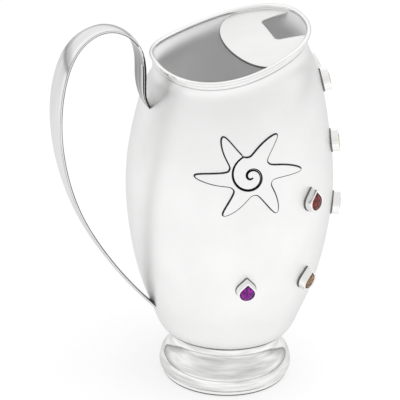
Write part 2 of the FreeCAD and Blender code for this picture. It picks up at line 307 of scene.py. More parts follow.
def run_lengths(points):
    """Distance along the points, averaged over everything but the first axis."""
    steps = np.linalg.norm(np.diff(points, axis=0), axis=-1)
    steps = steps.reshape(len(steps), -1).mean(axis=1)
    return np.concatenate([[0.0], np.cumsum(steps)])


# ---------------------------------------------------------------- body surfaces

def lip_height(x, y, height=LIP[0], rise=LIP[1], sag=LIP[2]):
    return height + rise * np.sin(x / RISE_RUN) - sag * y * y


def oval(angles, centre_x, half_length, half_width, squareness):
    side = np.sin(angles)
    x = centre_x + half_length * np.cos(angles)
    y = half_width * np.sign(side) * np.abs(side) ** (1 - squareness)
    return x, y


def shoulder_section(angles, station, offset):
    height, rise, sag, centre_x, half_length, half_width, squareness = station
    x, y = oval(angles, centre_x, half_length + offset, half_width + offset, squareness)
    return np.stack([x, y, lip_height(x, y, height, rise, sag)], axis=-1)


def body_sections(angles, offset, floor_lift):
    """Sections from the floor to just above the lip, grown outwards by offset."""
    rings = []
    base = BODY_STATIONS[0][0]
    for height, radius in BODY_STATIONS:
        lift = floor_lift * max(0.0, 1.0 - (height - base) / BODY_FLOOR_BLEND)
        x = (radius + offset) * np.cos(angles)
        y = (radius + offset) * np.sin(angles)
        rings.append(np.stack([x, y, np.full_like(x, height + lift)], axis=-1))
    for station in SHOULDER_STATIONS + [LIP]:
        rings.append(shoulder_section(angles, station, offset))
    flare = LIP_OVERRUN_FLARE + offset
    x, y = oval(angles, LIP[3], LIP[4] + flare, LIP[5] + flare, LIP[6])
    z = LIP[0] + LIP_OVERRUN + LIP_OVERRUN_SLOPE * x
    rings.append(np.stack([x, y, z], axis=-1))
    return np.array(rings)


def body_rows(offset, floor_lift, rows):
    angles = np.arange(BODY_SEGMENTS) * 2 * math.pi / BODY_SEGMENTS
    sections = body_sections(angles, offset, floor_lift)
    knots = run_lengths(sections)
    return spline(knots, sections, np.linspace(0, knots[-2], rows))


def disc_rows(ring, rows):
    """Rings shrinking from the given ring towards the axis, without its centre."""
    centre = ring.mean(axis=0)
    return [centre + (ring - centre) * (rows - i) / rows for i in range(1, rows)]


def make_body(outside_metal, inside_metal, shade_metal, soft_shade_metal):
    """The shell, open at the lip. Gives back its outer surface for the other pieces."""
    outside = list(body_rows(0.0, 0.0, BODY_ROWS))
    inside = list(body_rows(-BODY_WALL, BODY_FLOOR, BODY_ROWS))
    under = disc_rows(outside[0], BODY_DISC_ROWS)
    floor = disc_rows(inside[0], BODY_DISC_ROWS)
    rings = under[::-1] + outside + inside[::-1] + floor
    turn = len(under) + len(outside)

    def part(row, _):
        """0 outside, 1 inside, 2 painted shade at the joint to the foot, 3 the soft line of painted
        shade under the rim.
        """
        if row >= turn:
            return 1
        if row < len(under) + BODY_SHADE_ROWS:
            return 2
        return 3 if row == turn - BODY_SHADE_LINE_ROW else 0

    piece = ring_mesh(
        "body_skin",
        rings,
        [outside_metal, inside_metal, shade_metal, soft_shade_metal],
        index_of=part,
        caps=(True, True),
    )
    finish_piece(piece, "satin_silver", "body_shell")
    polygons = []
    for r in range(BODY_ROWS - 1):
        for i in range(BODY_SEGMENTS):
            j = (i + 1) % BODY_SEGMENTS
            low = r * BODY_SEGMENTS
            high = low + BODY_SEGMENTS
            polygons.append((low + i, low + j, high + j, high + i))
    points = [Vector(p) for row in outside for p in row]
    return BVHTree.FromPolygons(points, polygons)


def sweep_closed(name, spine, radius, materials, around=20):
    """Round wire along a closed line of points."""
    spine = np.asarray(spine)
    along = np.roll(spine, -1, axis=0) - np.roll(spine, 1, axis=0)
    along /= np.linalg.norm(along, axis=1)[:, None]
    out = np.cross(along, (0, 0, 1))
    out /= np.linalg.norm(out, axis=1)[:, None]
    up = np.cross(out, along)
    rings = []
    for i in range(around):
        turn = 2 * math.pi * i / around
        rings.append(spine + radius * (out * math.cos(turn) + up * math.sin(turn)))
    return ring_mesh(name, rings, materials, wrap=True)


def make_mouth_wire(metal):
    angles = np.arange(BODY_SEGMENTS) * 2 * math.pi / BODY_SEGMENTS
    station = (LIP[0] + MOUTH_WIRE_RISE,) + LIP[1:]
    spine = shoulder_section(angles, station, -BODY_WALL / 2)
    piece = sweep_closed("rim_wire", spine, MOUTH_WIRE_RADIUS, [metal])
    return finish_piece(piece, "polished_silver", "mouth_wire")


# ---------------------------------------------------------------- flat plates

def resample(points, gap):
    """The closed outline again with points about a gap apart."""
    points = np.asarray(points)
    closed = np.vstack([points, points[:1]])
    lengths = np.concatenate([[0], np.cumsum(np.linalg.norm(np.diff(closed, axis=0), axis=1))])
    count = max(8, int(round(lengths[-1] / gap)))
    at = np.arange(count) * lengths[-1] / count
    return np.stack([np.interp(at, lengths, closed[:, k]) for k in (0, 1)], axis=-1)


def inward(points, distance):
    """The closed outline moved to its inner side; outlines run anticlockwise."""
    along = np.roll(points, -1, axis=0) - np.roll(points, 1, axis=0)
    along /= np.maximum(np.linalg.norm(along, axis=1), 1e-12)[:, None]
    normal = np.stack([-along[:, 1], along[:, 0]], axis=-1)
    return points + normal * distance


def holds(outline, points):
    """Which of the points lie inside the closed outline."""
    inside = np.zeros(len(points), bool)
    start = outline
    end = np.roll(outline, -1, axis=0)
    for (ax, ay), (bx, by) in zip(start, end):
        crosses = (ay > points[:, 1]) != (by > points[:, 1])
        if by != ay:
            inside ^= crosses & (points[:, 0] < (bx - ax) * (points[:, 1] - ay) / (by - ay) + ax)
    return inside


def filled(outline, gap):
    """Points and triangles that fill a closed outline evenly."""
    low = outline.min(axis=0)
    high = outline.max(axis=0)
    grid_x, grid_y = np.meshgrid(
        np.arange(low[0], high[0], gap), np.arange(low[1], high[1], gap * 0.87)
    )
    grid_x[1::2] += gap / 2
    grid = np.stack([grid_x.ravel(), grid_y.ravel()], axis=-1)
    grid = grid[holds(inward(outline, gap * 0.55), grid)]
    points = [Vector(p) for p in outline] + [Vector(p) for p in grid]
    count = len(outline)
    edges = [(i, (i + 1) % count) for i in range(count)]
    made = delaunay_2d_cdt(points, edges, [list(range(count))], 1, 1e-9)
    return [tuple(p) for p in made[0]], made[2]


def plate(name, outline, place, levels, materials, fill_gap, bottom=True):
    """A plate from a closed outline. levels are (inset, level, material) from the base
    edge up to the top face; place(points, level) puts outline points in the frame."""
    points = []
    faces = []
    indices = []
    rings = []
    for inset, level, index in levels:
        ring = inward(outline, inset)
        rings.append((ring, len(points)))
        points += [tuple(p) for p in place(ring, level)]
    count = len(outline)
    for (low, high), (inset, level, index) in zip(zip(rings, rings[1:]), levels[1:]):
        for i in range(count):
            j = (i + 1) % count
            faces.append((low[1] + i, low[1] + j, high[1] + j, high[1] + i))
            indices.append(index)
    ends = [(rings[-1], levels[-1])]
    if bottom:
        ends.append((rings[0], levels[0]))
    for (ring, first), (inset, level, index) in ends:
        flat, triangles = filled(ring, fill_gap)
        offset = len(points)
        inner = flat[count:]
        if inner:
            points += [tuple(p) for p in place(np.array(inner), level)]
        for triangle in triangles:
            faces.append([first + i if i < count else offset + i - count for i in triangle])
            indices.append(index)
    mesh = bpy.data.meshes.new(name)
    mesh.from_pydata(points, [], faces)
    mesh.polygons.foreach_set("material_index", indices)
    smooth_outwards(mesh)
    return add_object(name, mesh, materials)


def arc_points(centre, radius, start, end, count):
    turns = np.linspace(start, end, count)
    return [(centre[0] + radius * math.cos(t), centre[1] + radius * math.sin(t)) for t in turns]


def wall_x(side_y):
    """x of the spout side of the cavity at the guard, for a given y."""
    share = abs(side_y) / (LIP[5] - BODY_WALL)
    sine = min(1.0, share) ** (1 / (1 - LIP[6]))
    return LIP[3] + (LIP[4] - BODY_WALL) * math.sqrt(1 - sine * sine)


def rear_share(x, y):
    """1 on the ellipse of the guard's rear edge, less inside it."""
    along = (x - GUARD_EDGE_CENTRE_X) / GUARD_EDGE_REACH
    return along ** 2 + (y / GUARD_EDGE_HALF_WIDTH) ** 2


def guard_outline():
    """From the middle of the slot's rear edge, round the slot, wall and rear edge."""
    half = []
    rear_corner = np.array([GUARD_SLOT_REAR_X, GUARD_SLOT_REAR_HALF])
    slope = np.array([GUARD_SLOT_TIP_X, GUARD_SLOT_TIP_HALF]) - rear_corner
    slope /= np.linalg.norm(slope)
    tangent = rear_corner + slope * GUARD_SLOT_CORNER
    half.append((GUARD_SLOT_REAR_X, 0.0))
    half.append((GUARD_SLOT_REAR_X, GUARD_SLOT_REAR_HALF - GUARD_SLOT_CORNER))
    steps = 8
    for i in range(1, steps):
        s = i / steps
        a = np.array(half[1]) * (1 - s) ** 2 + rear_corner * 2 * s * (1 - s) + tangent * s * s
        half.append(tuple(a))
    half.append(tuple(tangent))
    reach = tangent.copy()
    while reach[0] < wall_x(reach[1]):
        reach = reach + slope * 0.0002
    half.append(tuple(reach))
    theta = math.asin((reach[1] / (LIP[5] - BODY_WALL)) ** (1 / (1 - LIP[6])))
    angles = np.linspace(theta, math.pi / 2, 160)
    x, y = oval(angles, LIP[3], LIP[4] - BODY_WALL, LIP[5] - BODY_WALL, LIP[6])
    for px, py in zip(x, y):
        if px > GUARD_EDGE_CENTRE_X or rear_share(px, py) < 1:
            half.append((px, py))
    start = math.asin(min(1.0, half[-1][1] / GUARD_EDGE_HALF_WIDTH))
    for px, py in arc_points((0, 0), 1.0, math.pi - start, math.pi, 60):
        half.append((GUARD_EDGE_CENTRE_X + GUARD_EDGE_REACH * px, GUARD_EDGE_HALF_WIDTH * py))
    half = np.array(half)
    mirror = half[::-1] * np.array([1, -1])
    return np.vstack([half, mirror[1:-1]])


def make_guard(metal, edge_shade_metal):
    """Plate just under the lip, with painted shade as a dark border along its rear edge only."""
    outline = resample(guard_outline(), GUARD_POINT_GAP)
    x, y = outline.T
    if np.sum(x * np.roll(y, -1) - np.roll(x, -1) * y) < 0:
        outline = outline[::-1]

    def place(points, level):
        z = lip_height(points[:, 0], points[:, 1]) + level
        return np.column_stack([points, z])

    top = -GUARD_DEPTH
    bottom = top - GUARD_THICKNESS
    edge = GUARD_BEVEL
    levels = [
        (edge, bottom, 0),
        (0.0, bottom + edge, 1),
        (0.0, top - edge, 1),
        (edge * 0.3, top - edge * 0.3, 1),
        (2 * edge, top, 1),
        (3 * edge, top, 0),
    ]
    piece = plate("guard_plate", outline, place, levels, [metal, edge_shade_metal], GUARD_FILL_GAP)
    for polygon in piece.data.polygons:
        x, y, _ = polygon.center
        if x > GUARD_EDGE_CENTRE_X or rear_share(x, y) < GUARD_REAR_SHARE:
            polygon.material_index = 0
    return finish_piece(piece, "satin_silver", "ice_guard")


# ---------------------------------------------------------------- foot

def turned(name, profile, materials, segments=256, wrap=True, index_of=None):
    """Solid of revolution from (radius, height) points."""
    angles = np.arange(segments) * 2 * math.pi / segments
    rings = []
    for radius, height in profile:
        x = radius * np.cos(angles)
        y = radius * np.sin(angles)
        rings.append(np.stack([x, y, np.full_like(x, height)], axis=-1))
    return ring_mesh(name, rings, materials, index_of, wrap)


def make_foot(metal, shade_metal):
    """Hollow spun foot, with painted shade at its joints to the ring and to the body."""
    stations = np.array([(radius, height) for height, radius in FOOT_STATIONS])
    knots = run_lengths(stations[:, None, :])
    outside = spline(knots, stations, np.linspace(0, knots[-1], FOOT_ROWS))
    inside = outside[::-1] - np.array([FOOT_WALL, 0.0])
    last = len(outside) - 2
    piece = turned(
        "foot_spun",
        np.vstack([outside, inside]),
        [metal, shade_metal],
        index_of=lambda row, _: 1 if row in (0, last) else 0,
    )
    return finish_piece(piece, "polished_silver", "foot")


def make_foot_ring(metal, shade_metal):
    """Flat ring with a rounded outer side, with painted shade along that side's lower edge."""
    outer = FOOT_RING_OUTER - FOOT_RING_EDGE
    half = FOOT_RING_HEIGHT / 2
    soft = FOOT_RING_SOFT
    profile = [(FOOT_RING_INNER + soft, 0.0), (outer, 0.0)]
    for i in range(1, FOOT_RING_STEPS):
        turn = math.pi * (i / FOOT_RING_STEPS - 0.5)
        bulge = (outer + FOOT_RING_EDGE * math.cos(turn), half + half * math.sin(turn))
        profile.append(bulge)
    profile += [
        (outer, FOOT_RING_HEIGHT),
        (FOOT_RING_INNER + soft, FOOT_RING_HEIGHT),
        (FOOT_RING_INNER, FOOT_RING_HEIGHT - soft),
        (FOOT_RING_INNER, soft),
    ]
    piece = turned(
        "base_ring",
        profile,
        [metal, shade_metal],
        index_of=lambda row, _: 1 if 1 <= row < 1 + FOOT_RING_SHADE_STEPS else 0,
    )
    return finish_piece(piece, "polished_silver", "foot_ring")


# ---------------------------------------------------------------- handle

# places across the strap, from its near edge to its far edge
STRAP_SHARES = (1, 0.94, 0.84, 0.66, 0.45, 0.22, 0, -0.22, -0.45, -0.66, -0.84, -0.94, -1)
STRAP_EDGE_STEPS = 6
STRAP_TONGUE_ROWS = 32
STRAP_TAPER_ROWS = 12
STRAP_FAR_EDGE_SHADE_BANDS = 2
STRAP_TONGUE_SHADE_BANDS = 3


def strap_part(row, column):
    """Material of each lengthwise band: 0 outer face, 1 painted shade lines on the narrow sides,
    2 painted shade on the inner face near the tongue, 3 narrow sides and a pale line on the tongue,
    4 painted black shade along the side of the tongue, 5 painted grey shade on the far edge of
    the outer face."""
    face = len(STRAP_SHARES) - 1
    near = column < face + STRAP_EDGE_STEPS
    if column < face:
        return 5 if column < STRAP_FAR_EDGE_SHADE_BANDS else 0
    column -= face
    if near:
        column = STRAP_EDGE_STEPS - 1 - column
    else:
        column -= STRAP_EDGE_STEPS
        if column <= STRAP_TONGUE_SHADE_BANDS and row < STRAP_TONGUE_ROWS:
            return 4 if column < STRAP_TONGUE_SHADE_BANDS else 3
        if column < face:
            return 2 if row < 2 * STRAP_TONGUE_ROWS else 0
        column -= face
    if row < STRAP_TONGUE_ROWS + STRAP_TAPER_ROWS:
        return 4 if column > max(0, row - STRAP_TONGUE_ROWS) // 3 else 3
    return 1 if column < 3 or column == STRAP_EDGE_STEPS - 1 else 3


def strap_profile(width):
    """Closed strap outline as (across, outward): crowned outer face, flat inner face."""
    half = width / 2
    edge = HANDLE_EDGE
    low = -HANDLE_HALF_THICKNESS
    high = HANDLE_HALF_THICKNESS - HANDLE_CROWN
    middle = (high + low) / 2
    reach = (high - low) / 2
    points = []
    for share in STRAP_SHARES:
        points.append((share * (half - edge), high + HANDLE_CROWN * (1 - share * share)))
    for i in range(1, STRAP_EDGE_STEPS):
        turn = math.pi * (0.5 + i / STRAP_EDGE_STEPS)
        points.append((edge - half + edge * math.cos(turn), middle + reach * math.sin(turn)))
    for share in STRAP_SHARES:
        points.append((-share * (half - edge), low))
    for i in range(1, STRAP_EDGE_STEPS):
        turn = math.pi * (1.5 + i / STRAP_EDGE_STEPS)
        points.append((half - edge + edge * math.cos(turn), middle + reach * math.sin(turn)))
    return points


def make_handle(metals, skin):
    """The strap along its run, its ends pressed on to the body's skin."""
    stations = np.array(HANDLE_STATIONS)
    knots = run_lengths(stations[:, None, :2])
    at = np.linspace(0, knots[-1], HANDLE_ROWS)
    run = spline(knots, stations, at)
    ahead = spline(knots, stations[:, :2], np.minimum(at + 1e-4, knots[-1]))
    behind = spline(knots, stations[:, :2], np.maximum(at - 1e-4, 0))
    rings = []
    rotate = Matrix.Rotation(HANDLE_TURN, 4, "Z")
    for (radius, height, width), step in zip(run, ahead - behind):
        step = step / np.linalg.norm(step)
        outward = (-step[1], step[0])
        ring = []
        for across, level in strap_profile(width):
            place = Vector((radius + outward[0] * level, -across, height + outward[1] * level))
            place = rotate @ place
            near, normal, _, _ = skin.find_nearest(place)
            depth = (near - place).dot(normal)
            if depth > HANDLE_BURY:
                place = near - normal * HANDLE_BURY
            ring.append(place)
        rings.append(ring)
    piece = ring_mesh("handle_band", rings, metals, strap_part, caps=(True, True))
    return finish_piece(piece, "polished_silver", "handle_strap")


# ---------------------------------------------------------------- star

def star_reach(angle):
    swing = math.sin(STAR_ARMS * angle / 2) ** 2
    fall = math.sqrt(STAR_TIP ** 2 + (1 - STAR_TIP ** 2) * swing)
    arm = ((1 - fall) / (1 - STAR_TIP)) ** STAR_TAPER
    return STAR_WAIST + (1 - STAR_WAIST) * arm


def star_outline():
    points = []
    for i in range(STAR_ARMS * STAR_ARM_POINTS):
        arm, step = divmod(i, STAR_ARM_POINTS)
        share = 2 * step / STAR_ARM_POINTS - 1
        angle = 2 * math.pi / STAR_ARMS * (arm + share * abs(share) ** STAR_CROWDING / 2)
        reach = star_reach(angle)
        turn = angle + STAR_SWEEP * (1 - reach) / (1 - STAR_WAIST)
        points.append(
            (STAR_HALF_WIDTH * reach * math.cos(turn), STAR_HALF_HEIGHT * reach * math.sin(turn))
        )
    return resample(points, STAR_POINT_GAP)


def spiral_sides():
    """Outer and inner side of the groove, from the bay to the middle."""
    outer = []
    inner = []
    for i in range(SPIRAL_STEPS + 1):
        share = i / SPIRAL_STEPS
        turn = SPIRAL_START + 2 * math.pi * SPIRAL_TURNS * share
        radius = SPIRAL_INNER + (SPIRAL_OUTER - SPIRAL_INNER) * (1 - share) ** SPIRAL_CLOSING
        width = SPIRAL_END_WIDTH + (SPIRAL_WIDTH - SPIRAL_END_WIDTH) * math.sin(math.pi * share)
        way = np.array([math.cos(turn), math.sin(turn)])
        outer.append(way * (radius + width / 2))
        inner.append(way * (radius - width / 2))
    return np.array(outer), np.array(inner)


def slit_outline():
    """Star outline with the groove cut into it as one long slit."""
    star = star_outline()
    outer, inner = spiral_sides()
    outer = outer[np.argmax(holds(star, outer)):]
    inner = inner[np.argmax(holds(star, inner)):]
    first = int(np.argmin(np.linalg.norm(star - outer[0], axis=1)))
    last = int(np.argmin(np.linalg.norm(star - inner[0], axis=1)))
    low, high = sorted((first, last))
    body = np.roll(star, -(high + 1), axis=0)[:len(star) - (high - low) - 1]
    ends = [outer, inner] if first == high else [inner, outer]
    slit = np.vstack([ends[1], ends[0][::-1]])
    return np.vstack([body, slit])


def star_place(side, skin):
    """Puts flat points on the body, pressed on along the star's own direction."""
    angle = math.radians(side * STAR_ANGLE)
    turn = Matrix.Rotation(angle, 4, "Z") @ Matrix.Rotation(-STAR_TILT, 4, "Y")
    level_ray = Vector((math.cos(angle), math.sin(angle), 0))
    start = level_ray * RAY_START + Z * STAR_HEIGHT
    centre = skin.ray_cast(start, -level_ray)[0]
    out = turn @ Vector((1, 0, 0))
    right = turn @ Vector((0, 1, 0))
    up = turn @ Vector((0, 0, 1))

    def place(points, level):
        placed = []
        for y, z in points:
            origin = centre + right * y + up * z + out * 0.1
            hit = skin.ray_cast(origin, -out)[0]
            placed.append(hit + out * level)
        return placed

    return place


def make_star(name, side, node, metal, dark, skin):
    """Flat star with dark sides, and the groove as a slit between them."""
    place = star_place(side, skin)
    levels = [
        (-STAR_SEAM, -STAR_BURY, 1),
        (-STAR_SEAM, 0.00008, 1),
        (-STAR_SEAM * 0.35, 0.00022, 1),
        (0.0, 0.0005, 1),
        (0.0, STAR_THICKNESS - STAR_EDGE, 1),
        (STAR_EDGE * 0.3, STAR_THICKNESS - STAR_EDGE * 0.3, 1),
        (STAR_EDGE, STAR_THICKNESS, 0),
        (STAR_EDGE * 1.6, STAR_THICKNESS, 0),
    ]
    outline = slit_outline()
    piece = plate(name, outline, place, levels, [metal, dark], STAR_FILL_GAP, bottom=False)
    return finish_piece(piece, "oxidised_silver", node)


# ---------------------------------------------------------------- bezels and stones

def between(start, end, steps):
    """Points on the straight way from start to end, without those two."""
    shares = [i / steps for i in range(1, steps)]
    return [tuple(np.array(start) * (1 - s) + np.array(end) * s) for s in shares]


def pear(inset, arc=28, tip_arc=7, sides=5):
    """Pear outline as (across, up), round end down, inset from the bezel's outside."""
    big = BEZEL_WIDTH / 2 - inset
    centre = BEZEL_WIDTH / 2 - BEZEL_LENGTH / 2
    small = max(PEAR_LEAST_TIP_RADIUS, PEAR_TIP_RADIUS - inset)
    tip = BEZEL_LENGTH / 2 - PEAR_TIP_MARGIN - PEAR_TIP_PULL * inset - small
    lean = math.asin((big - small) / (tip - centre))
    lower = arc_points((0, centre), big, math.pi - lean, 2 * math.pi + lean, arc)
    upper = arc_points((0, tip), small, lean, math.pi - lean, tip_arc)
    return lower + between(lower[-1], upper[0], sides) + upper + between(upper[-1], lower[0], sides)


def seat_place(node, skin):
    """Where a stone's seat stands on the body: origin on the skin and its three directions."""
    low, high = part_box(node)
    centre = (low + high) / 2
    angle = math.atan2(centre.y, centre.x)
    level_ray = Vector((math.cos(angle), math.sin(angle), 0))
    stand = BEZEL_STAND - BEZEL_CUP + (STONE_PAVILION + STONE_GIRDLE + STONE_CROWN) / 2
    tilt = 0.0
    for _ in range(SEAT_ROUNDS):
        height = centre.z - stand * math.sin(tilt)
        radii = []
        for step in (-SEAT_STEP, SEAT_STEP):
            start = level_ray * RAY_START + Z * (height + step)
            hit = skin.ray_cast(start, -level_ray)[0]
            radii.append(math.hypot(hit.x, hit.y))
        tilt = math.atan2(radii[0] - radii[1], 2 * SEAT_STEP)
    origin = skin.ray_cast(level_ray * RAY_START + Z * height, -level_ray)[0]
    turn = Matrix.Rotation(angle, 4, "Z") @ Matrix.Rotation(-tilt, 4, "Y")
    return origin, turn @ Vector((1, 0, 0)), turn @ Vector((0, 1, 0)), turn @ Vector((0, 0, 1))


def seat_points(points, stand, seat):
    origin, out, across, up = seat
    return [origin + across * y + up * z + out * stand for y, z in points]


def make_bezel(name, node, seat, metal, floor_metal, shade_metal):
    """Cup with a soldered foot, a straight wall and a burnished top edge."""
    top = BEZEL_STAND
    section = (
        (-0.0005, -0.0009),
        (-0.0005, 0.0001),
        (-0.0003, 0.0004),
        (-0.0001, 0.0008),
        (0.0, 0.0014),
        (0.0, top - 0.0004),
        (0.00006, top - 0.00015),
        (0.00022, top),
        (0.0008, top),
        (0.0012, top - 0.00015),
        (0.00145, top - 0.0004),
        (0.0014, top - 0.0006),
        (BEZEL_WALL, top - 0.0008),
        (BEZEL_WALL, top - BEZEL_CUP + 0.0001),
        (BEZEL_WALL + 0.0003, top - BEZEL_CUP),
    )
    rings = [seat_points(pear(inset), stand, seat) for inset, stand in section]

    def part(row, _):
        """0 polished wall and lip, 1 satin inside, 2 painted shade at the foot."""
        if row < BEZEL_SHADE_ROWS:
            return 2
        return 0 if row < BEZEL_POLISHED_ROWS else 1

    metals = [metal, floor_metal, shade_metal]
    piece = ring_mesh(name, rings, metals, part, caps=(False, True))
    return finish_piece(piece, "polished_silver", node)


def stone_corners():
    """Corners of the girdle, evenly round the big end and one on each long side."""
    inset = BEZEL_WALL + STONE_PLAY
    big = BEZEL_WIDTH / 2 - inset
    centre = BEZEL_WIDTH / 2 - BEZEL_LENGTH / 2
    tip = BEZEL_LENGTH / 2 - PEAR_TIP_MARGIN - PEAR_TIP_PULL * inset - STONE_TIP_PLAY
    lean = math.asin(big / (tip - centre))
    count = STONE_CORNERS - 3
    points = arc_points((0, centre), big, math.pi - lean, 2 * math.pi + lean, count)
    points.append(tuple((np.array(points[-1]) + np.array((0, tip))) / 2))
    points.append((0, tip))
    points.append(tuple((np.array(points[0]) + np.array((0, tip))) / 2))
    return np.array(points), np.array((0.0, centre * STONE_MIDDLE))


# Painted light dealt out to the facets: 0 plain colour, 1 painted shade, 2 painted glint.
FACET_PAINTED_LIGHT = (0, 1, 2, 0, 2, 1, 1, 0, 2)


def painted_facet_light(number):
    """The painted light of one facet, mixed in a way that repeats on every run."""
    count = len(FACET_PAINTED_LIGHT)
    step = number if number % 3 == 0 else 5 * number * number
    return FACET_PAINTED_LIGHT[step % count]


def make_stone(name, node, seat, lit_and_shaded_copies):
    """Pear brilliant: a table in small facets, crown and girdle facets, and a two-step
    pavilion."""
    corners, middle = stone_corners()
    halves = (corners + np.roll(corners, -1, axis=0)) / 2

    def scaled(points, share):
        return middle + (points - middle) * share

    girdle = BEZEL_STAND - BEZEL_CUP + STONE_PAVILION
    crown = girdle + STONE_GIRDLE
    levels = [
        (scaled(corners, STONE_TABLE), crown + STONE_CROWN),
        (scaled(halves, STONE_KITE), crown + STONE_CROWN * STONE_KITE_HEIGHT),
        (corners, crown),
        (corners, girdle),
        (scaled(halves, STONE_DEEP), girdle - STONE_PAVILION * STONE_DEEP_DEPTH),
    ]
    points = []
    for ring, stand in levels:
        points += [tuple(p) for p in seat_points(ring, stand, seat)]
    culet = len(points)
    points += [tuple(p) for p in seat_points([middle], girdle - STONE_PAVILION, seat)]
    n = STONE_CORNERS
    faces = []
    inner = len(points)
    hub = inner + n
    height = crown + STONE_CROWN
    ring = scaled(halves, STONE_TABLE * STONE_HUB)
    points += [tuple(p) for p in seat_points(ring, height, seat)]
    points += [tuple(p) for p in seat_points([middle], height, seat)]
    table, mid, upper, lower, deep = (k * n for k in range(len(levels)))
    for i in range(n):
        j = (i + 1) % n
        faces.append((i, j, inner + i))
        faces.append((j, inner + j, inner + i))
        faces.append((inner + i, inner + j, hub))
        faces.append((table + i, mid + i, table + j))
        faces.append((table + j, mid + i, upper + j))
        faces.append((table + j, upper + j, mid + j))
        faces.append((mid + i, upper + i, upper + j))
        faces.append((upper + i, lower + i, lower + j, upper + j))
        faces.append((lower + i, deep + i, lower + j))
        faces.append((lower + j, deep + i, deep + j))
        faces.append((deep + i, culet, deep + j))
    mesh = bpy.data.meshes.new(name)
    mesh.from_pydata(points, [], faces)
    smooth_outwards(mesh, smooth=False)
    for polygon in mesh.polygons:
        polygon.material_index = painted_facet_light(polygon.index)
    return add_object(name, mesh, lit_and_shaded_copies)


# ---------------------------------------------------------------- materials

def shader(name):
    material = bpy.data.materials.new(name)
    material.use_nodes = True
    tree = material.node_tree
    return material, tree, tree.nodes["Principled BSDF"]


def stretched(tree, scale):
    """Place on the object, or with two numbers place round and along a swept piece,
    stretched by the scale along each axis."""
    where = tree.nodes.new("ShaderNodeTexCoord")
    mapping = tree.nodes.new("ShaderNodeMapping")
    mapping.inputs["Scale"].default_value = (tuple(scale) + (1.0,))[:3]
    kind = "Object" if len(scale) == 3 else "UV"
    tree.links.new(where.outputs[kind], mapping.inputs["Vector"])
    return mapping.outputs["Vector"]


def noise(tree, scale, detail=4.0, size=1.0):
    made = tree.nodes.new("ShaderNodeTexNoise")
    made.inputs["Scale"].default_value = size
    made.inputs["Detail"].default_value = detail
    tree.links.new(stretched(tree, scale), made.inputs["Vector"])
    return made.outputs["Fac"]


def ranged(tree, value, low, high, to_low, to_high):
    made = tree.nodes.new("ShaderNodeMapRange")
    made.inputs["From Min"].default_value = low
    made.inputs["From Max"].default_value = high
    made.inputs["To Min"].default_value = to_low
    made.inputs["To Max"].default_value = to_high
    tree.links.new(value, made.inputs["Value"])
    return made.outputs["Result"]


def blended(tree, factor, first, second):
    made = tree.nodes.new("ShaderNodeMix")
    made.data_type = "RGBA"
    tree.links.new(factor, made.inputs["Factor"])
    made.inputs[6].default_value = first + (1.0,)
    made.inputs[7].default_value = second + (1.0,)
    return made.outputs[2]


def summed(tree, first, second, weight):
    made = tree.nodes.new("ShaderNodeMath")
    made.operation = "MULTIPLY_ADD"
    made.inputs[1].default_value = weight
    tree.links.new(second, made.inputs[0])
    tree.links.new(first, made.inputs[2])
    return made.outputs[0]


def bumped(tree, bsdf, height, strength, distance):
    made = tree.nodes.new("ShaderNodeBump")
    made.inputs["Strength"].default_value = strength
    made.inputs["Distance"].default_value = distance
    tree.links.new(height, made.inputs["Height"])
    tree.links.new(made.outputs["Normal"], bsdf.inputs["Normal"])


def grey(level):
    return (level, level, level)


def silver(
    name,
    bright,
    dull,
    rough,
    polish_marks=0.1,
    planish=0.1,
    metallic=1.0,
    edge_tint=1.0,
    clouds=(38, 38, 30),
    brushed=(60, 60, 5200),
):
    """Silver with cloudy tone between bright and dull, fine turned polishing marks and
    slight hammer waves."""
    material, tree, bsdf = shader(name)
    bsdf.inputs["Metallic"].default_value = metallic
    bsdf.inputs["Specular Tint"].default_value = grey(edge_tint) + (1.0,)
    cloud = noise(tree, clouds, 5.0)
    tone = ranged(tree, cloud, 0.35, 0.7, 0.0, 1.0)
    tree.links.new(blended(tree, tone, bright, dull), bsdf.inputs["Base Color"])
    marks = noise(tree, brushed, 3.0)
    low, high = rough
    wear = summed(tree, ranged(tree, cloud, 0.3, 0.75, low, high), marks, polish_marks * 0.5)
    tree.links.new(wear, bsdf.inputs["Roughness"])
    waves = noise(tree, (95, 95, 80), 1.0)
    height = summed(tree, ranged(tree, waves, 0.0, 1.0, 0.0, planish), marks, polish_marks)
    bumped(tree, bsdf, height, 0.35, 0.0004)
    return material


def oxide_and_shade_black(name):
    """Blackened silver in grooves, a little rubbed; the same black is painted shade on the handle's
    tongue.
    """
    material, tree, bsdf = shader(name)
    bsdf.inputs["Metallic"].default_value = 0.8
    grain = noise(tree, (900, 900, 900), 4.0)
    rubbed = ranged(tree, grain, 0.55, 0.8, 0.0, 1.0)
    colour = blended(tree, rubbed, (0.018, 0.018, 0.02), (0.16, 0.16, 0.165))
    tree.links.new(colour, bsdf.inputs["Base Color"])
    tree.links.new(ranged(tree, grain, 0.3, 0.8, 0.55, 0.35), bsdf.inputs["Roughness"])
    bumped(tree, bsdf, grain, 0.4, 0.0002)
    return material


def gemstone(name, deep, light, zone):
    """Clear stone with colour zones and fine veils inside."""
    material, tree, bsdf = shader(name)
    bsdf.inputs["IOR"].default_value = 1.56
    bsdf.inputs["Specular IOR Level"].default_value = 0.15
    bsdf.inputs["Transmission Weight"].default_value = 0.4
    zones = noise(tree, (zone, zone, zone), 3.0)
    share = ranged(tree, zones, 0.35, 0.65, 0.0, 1.0)
    tree.links.new(blended(tree, share, deep, light), bsdf.inputs["Base Color"])
    veil = noise(tree, (1500, 1500, 1500), 2.0)
    tree.links.new(ranged(tree, veil, 0.4, 0.8, 0.0, 0.05), bsdf.inputs["Roughness"])
    return material


def gem_painted_light_copies(name, deep, light, zone):
    """The stone's colour plain, as a painted shade copy for dark facets and as a painted glint copy
    for facets that flash.
    """
    dark = tuple(0.15 * c for c in deep)
    painted_glint = tuple(min(1.0, 1.6 * c + 0.01) for c in light)
    return [
        gemstone(name, deep, light, zone),
        gemstone(name + "_painted_shade", dark, deep, zone),
        gemstone(name + "_flash", light, painted_glint, zone),
    ]


